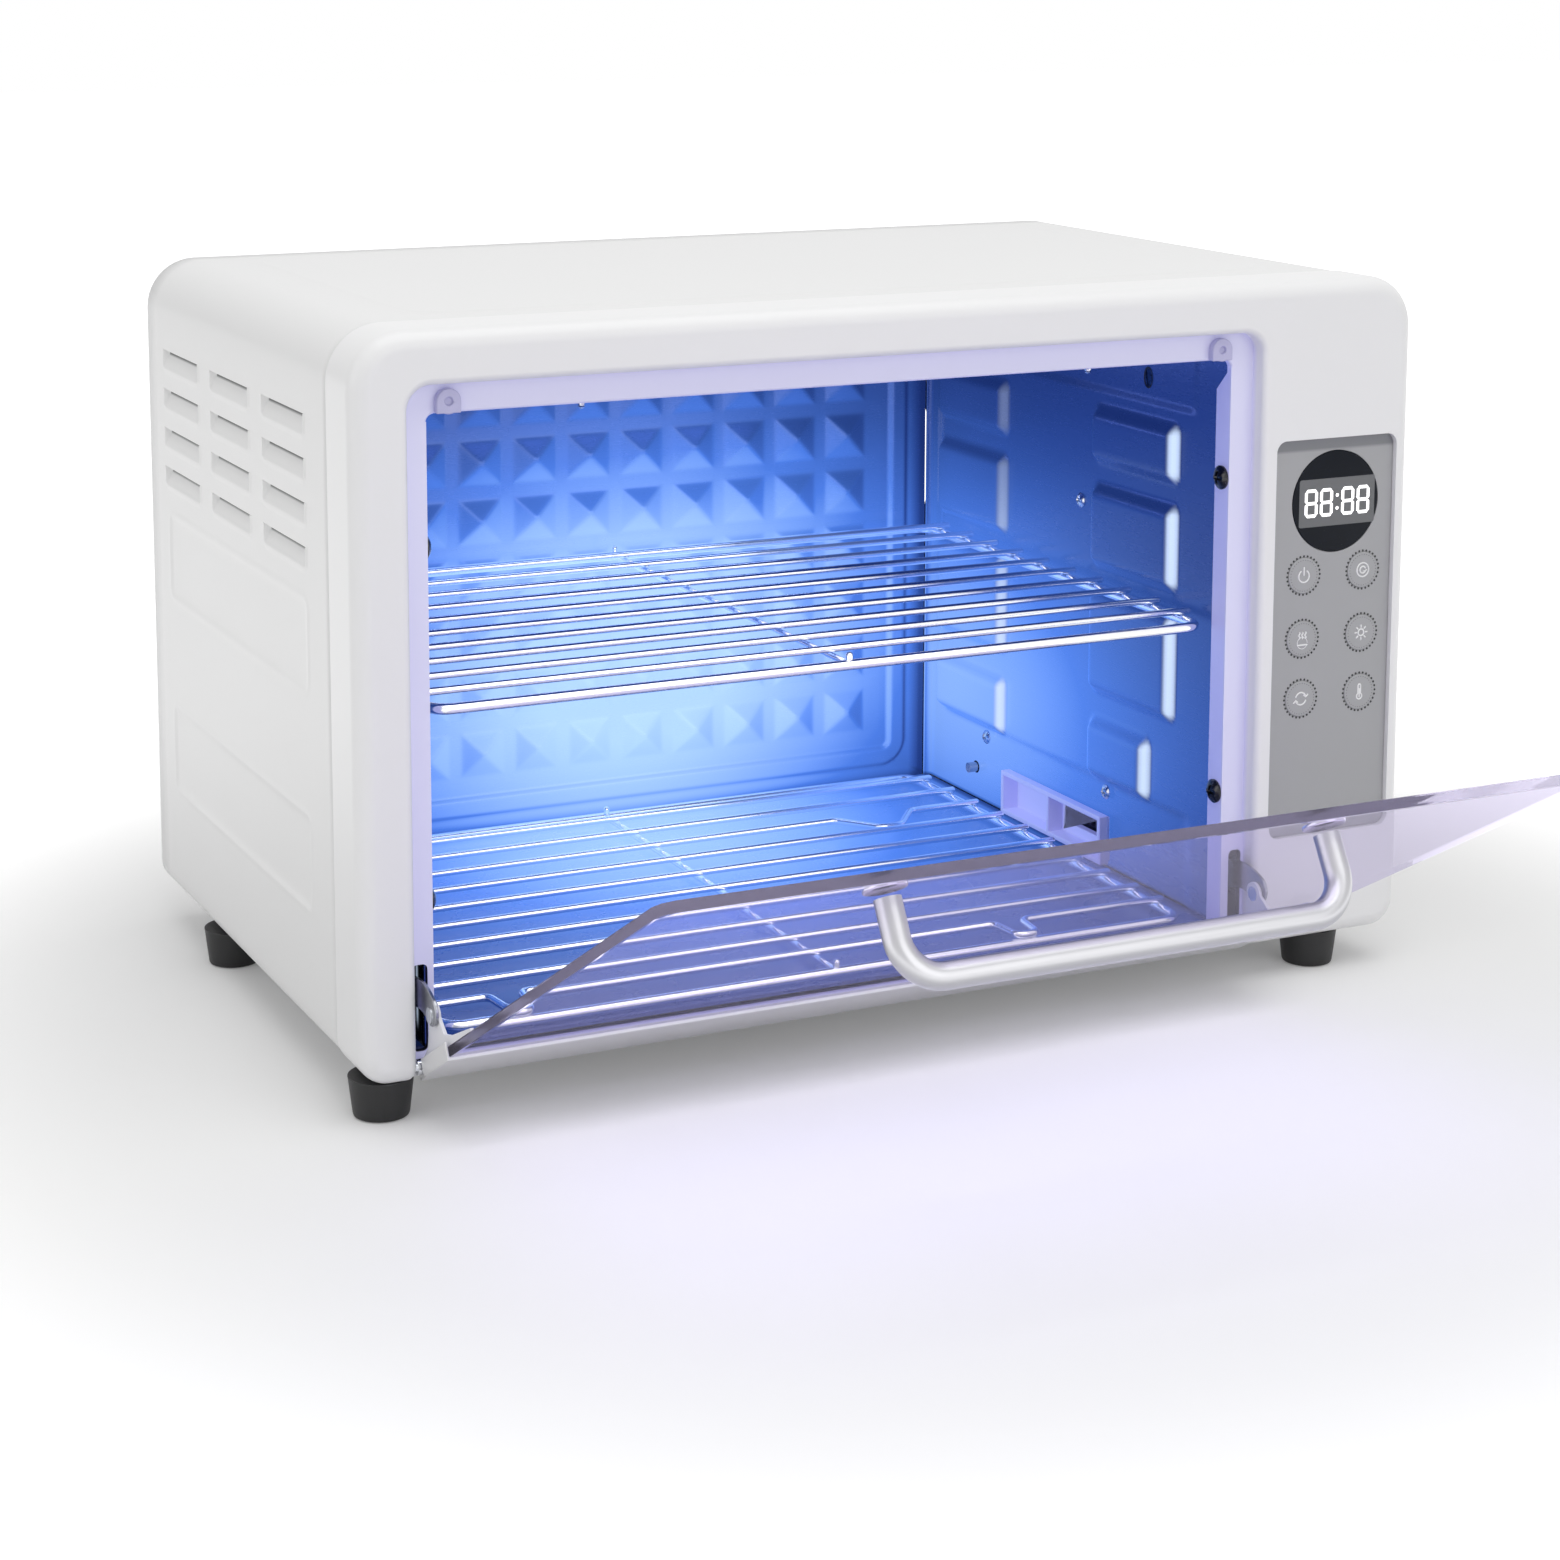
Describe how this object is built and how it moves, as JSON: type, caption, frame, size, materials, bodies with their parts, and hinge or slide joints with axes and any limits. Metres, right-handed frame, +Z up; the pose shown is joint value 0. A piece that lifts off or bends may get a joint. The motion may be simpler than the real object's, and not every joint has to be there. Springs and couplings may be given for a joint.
{
  "type": "sterilizer cabinet",
  "caption": "Bench-top salon tool sterilizer cabinet with a lit metal cavity, wire racks, a drop-down glass door with a bar handle, side louvres and a key panel.",
  "frame": {"origin": "centre of the whole object's box on the bench plane, with the door part-open as in the picture", "axes": "+Z up, -Y towards the user through the door, +X to the control panel's side"},
  "size_m": [0.39, 0.4296, 0.249],
  "materials": {
    "shell_paint": "white powder coat, low gloss",
    "frame_white": "white moulding, soft gloss",
    "base_metal": "zinc-plated sheet",
    "liner_metal": "bright embossed sheet, satin",
    "vent_white": "moulded white",
    "foot_rubber": "matt black",
    "bumper_clear": "translucent soft",
    "screw_black": "black oxide",
    "screw_bright": "bright plated",
    "spring_steel": "bare spring steel",
    "glass_clear": "polished",
    "channel_aluminium": "light satin",
    "hinge_steel": "plated, satin",
    "handle_aluminium": "satin, fine grain",
    "washer_bright": "bright turned",
    "rack_wire": "bright plated wire",
    "panel_grey": "fine matt print",
    "window_black": "gloss black",
    "key_grey": "matt, pale ring print",
    "lamp_tube": "lit tube",
    "holder_white": "moulded white",
    "guard_wire": "bright plated wire",
    "board_green": "solder-mask green",
    "electric_black": "moulded black",
    "motor_steel": "drawn can",
    "heater_fins": "folded fins"
  },
  "bodies": {
    "cabinet": {"outer_shell": "shell_paint", "rear_panel": "shell_paint", "front_frame": "frame_white", "base_plate": "base_metal", "liner_back": "liner_metal", "liner_left": "liner_metal", "liner_right": "liner_metal", "liner_ceiling": "liner_metal", "liner_floor": "liner_metal", "vent_housing": "vent_white", "foot_1": "foot_rubber", "foot_2": "foot_rubber", "foot_3": "foot_rubber", "foot_4": "foot_rubber", "door_bumpers": "bumper_clear", "jamb_screws": "screw_black", "liner_screws": "screw_bright", "rear_screws": "screw_bright", "foot_screws": "screw_bright", "board_standoffs": "screw_bright", "arm_friction_springs": "spring_steel", "control_panel": "panel_grey", "display_window": "window_black", "uv_lamp": "lamp_tube", "lamp_holders": "holder_white", "terminal_block": "holder_white", "lamp_guard": "guard_wire", "control_board": "board_green", "blower_housing": "electric_black", "ballast": "electric_black", "key_switches": "electric_black", "door_switch": "electric_black", "display_module": "electric_black", "cord_gland": "electric_black", "blower_motor": "motor_steel", "temperature_probe": "motor_steel", "ptc_heater": "heater_fins"},
    "door": {"door_glass": "glass_clear", "door_channel": "channel_aluminium", "glass_seal": "foot_rubber", "door_bracket_left": "hinge_steel", "door_bracket_right": "hinge_steel", "link_arm_left": "hinge_steel", "link_arm_right": "hinge_steel", "arm_rivets": "screw_bright", "hinge_pins": "screw_bright", "handle_bar": "handle_aluminium", "handle_washers": "washer_bright", "handle_screws": "screw_bright"},
    "upper_rack": {"upper_rack": "rack_wire", "upper_rack_wires": "rack_wire"},
    "lower_rack": {"lower_rack": "rack_wire", "lower_rack_wires": "rack_wire"},
    "blower_wheel": {"blower_wheel": "electric_black"},
    "key_1": {"key_1": "key_grey"},
    "key_2": {"key_2": "key_grey"},
    "key_3": {"key_3": "key_grey"},
    "key_4": {"key_4": "key_grey"},
    "key_5": {"key_5": "key_grey"},
    "key_6": {"key_6": "key_grey"}
  },
  "joints": [
    {"name": "door_hinge", "type": "hinge", "parent": "cabinet", "child": "door", "pos_m": [-0.0225, -0.02821, 0.0175], "axis": [1, 0, 0], "range_deg": [-60.4, 18]},
    {"name": "upper_rack_slide", "type": "slide", "parent": "cabinet", "child": "upper_rack", "axis": [0, -1, 0], "range_m": [0, 0.18]},
    {"name": "lower_rack_lift_out", "type": "slide", "parent": "cabinet", "child": "lower_rack", "axis": [0, -0.8695, 0.4939], "range_m": [0, 0.18]},
    {"name": "blower_spin", "type": "hinge", "parent": "cabinet", "child": "blower_wheel", "pos_m": [0.165, 0.08179, 0.048], "axis": [1, 0, 0], "continuous": true},
    {"name": "key_1_press", "type": "slide", "parent": "cabinet", "child": "key_1", "axis": [0, 1, 0], "range_m": [0, 0.0005], "stiffness_N_per_m": 800},
    {"name": "key_2_press", "type": "slide", "parent": "cabinet", "child": "key_2", "axis": [0, 1, 0], "range_m": [0, 0.0005], "stiffness_N_per_m": 800},
    {"name": "key_3_press", "type": "slide", "parent": "cabinet", "child": "key_3", "axis": [0, 1, 0], "range_m": [0, 0.0005], "stiffness_N_per_m": 800},
    {"name": "key_4_press", "type": "slide", "parent": "cabinet", "child": "key_4", "axis": [0, 1, 0], "range_m": [0, 0.0005], "stiffness_N_per_m": 800},
    {"name": "key_5_press", "type": "slide", "parent": "cabinet", "child": "key_5", "axis": [0, 1, 0], "range_m": [0, 0.0005], "stiffness_N_per_m": 800},
    {"name": "key_6_press", "type": "slide", "parent": "cabinet", "child": "key_6", "axis": [0, 1, 0], "range_m": [0, 0.0005], "stiffness_N_per_m": 800}
  ]
}
